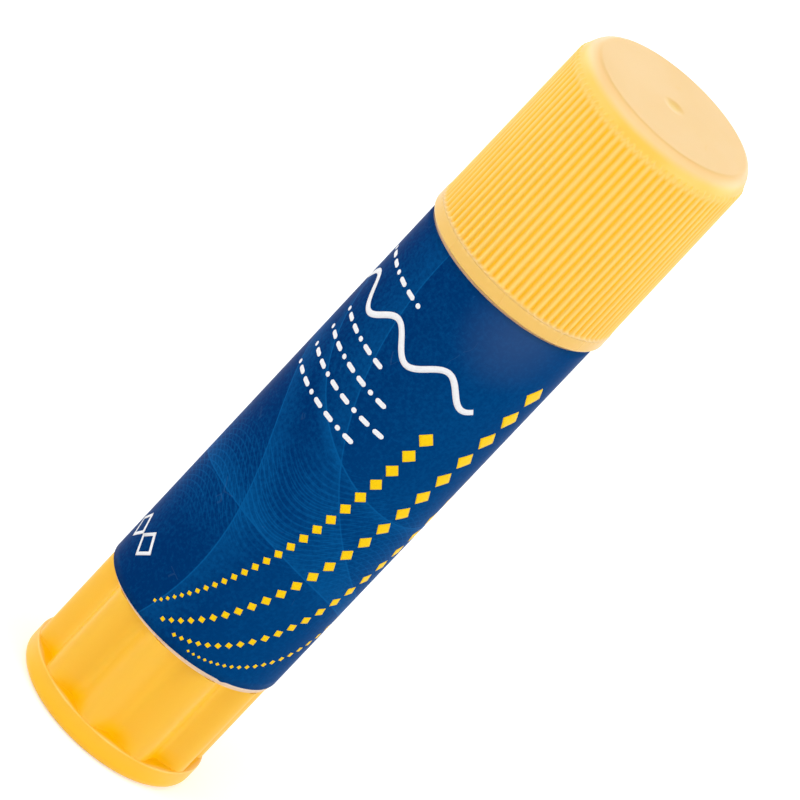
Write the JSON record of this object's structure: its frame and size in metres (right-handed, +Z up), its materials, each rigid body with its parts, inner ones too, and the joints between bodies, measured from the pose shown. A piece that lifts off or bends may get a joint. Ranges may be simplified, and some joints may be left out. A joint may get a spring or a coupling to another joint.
{
  "type": "glue stick",
  "caption": "Twist-up glue stick: turning the fluted base drives a screw that lifts the adhesive out of the labelled tube, under a ribbed pull-off cap.",
  "frame": {"origin": "centre of the foot ring, on the plane the stick stands on", "axes": "+Z up along the stick, towards the cap; -Y is the front that the label's design faces"},
  "size_m": [0.0204, 0.0204, 0.0836],
  "materials": {
    "yellow_plastic": "moulded polypropylene, satin",
    "white_plastic": "moulded polypropylene, natural white",
    "printed_film": "deep blue printed film with yellow marks, satin",
    "adhesive": "solid white adhesive, waxy"
  },
  "bodies": {
    "housing": {"barrel": "white_plastic", "label": "printed_film"},
    "knob": {"twist_knob": "yellow_plastic", "lead_screw": "white_plastic"},
    "carrier": {"glue_carrier": "white_plastic", "glue_core": "adhesive"},
    "cap": {"cap": "yellow_plastic"}
  },
  "joints": [
    {"name": "knob_turn", "type": "hinge", "parent": "housing", "child": "knob", "pos_m": [0, 0, 0.008], "axis": [0, 0, 1], "range_deg": [0, 2880]},
    {"name": "carrier_lift", "type": "slide", "parent": "housing", "child": "carrier", "axis": [0, 0, 1], "range_m": [0, 0.04]},
    {"name": "cap_pull", "type": "slide", "parent": "carrier", "child": "cap", "axis": [0, 0, 1], "range_m": [0, 0.032]}
  ],
  "couplings": [
    {"joint": "carrier_lift", "follows": "knob_turn", "m_per_rad": 0.00079577}
  ]
}
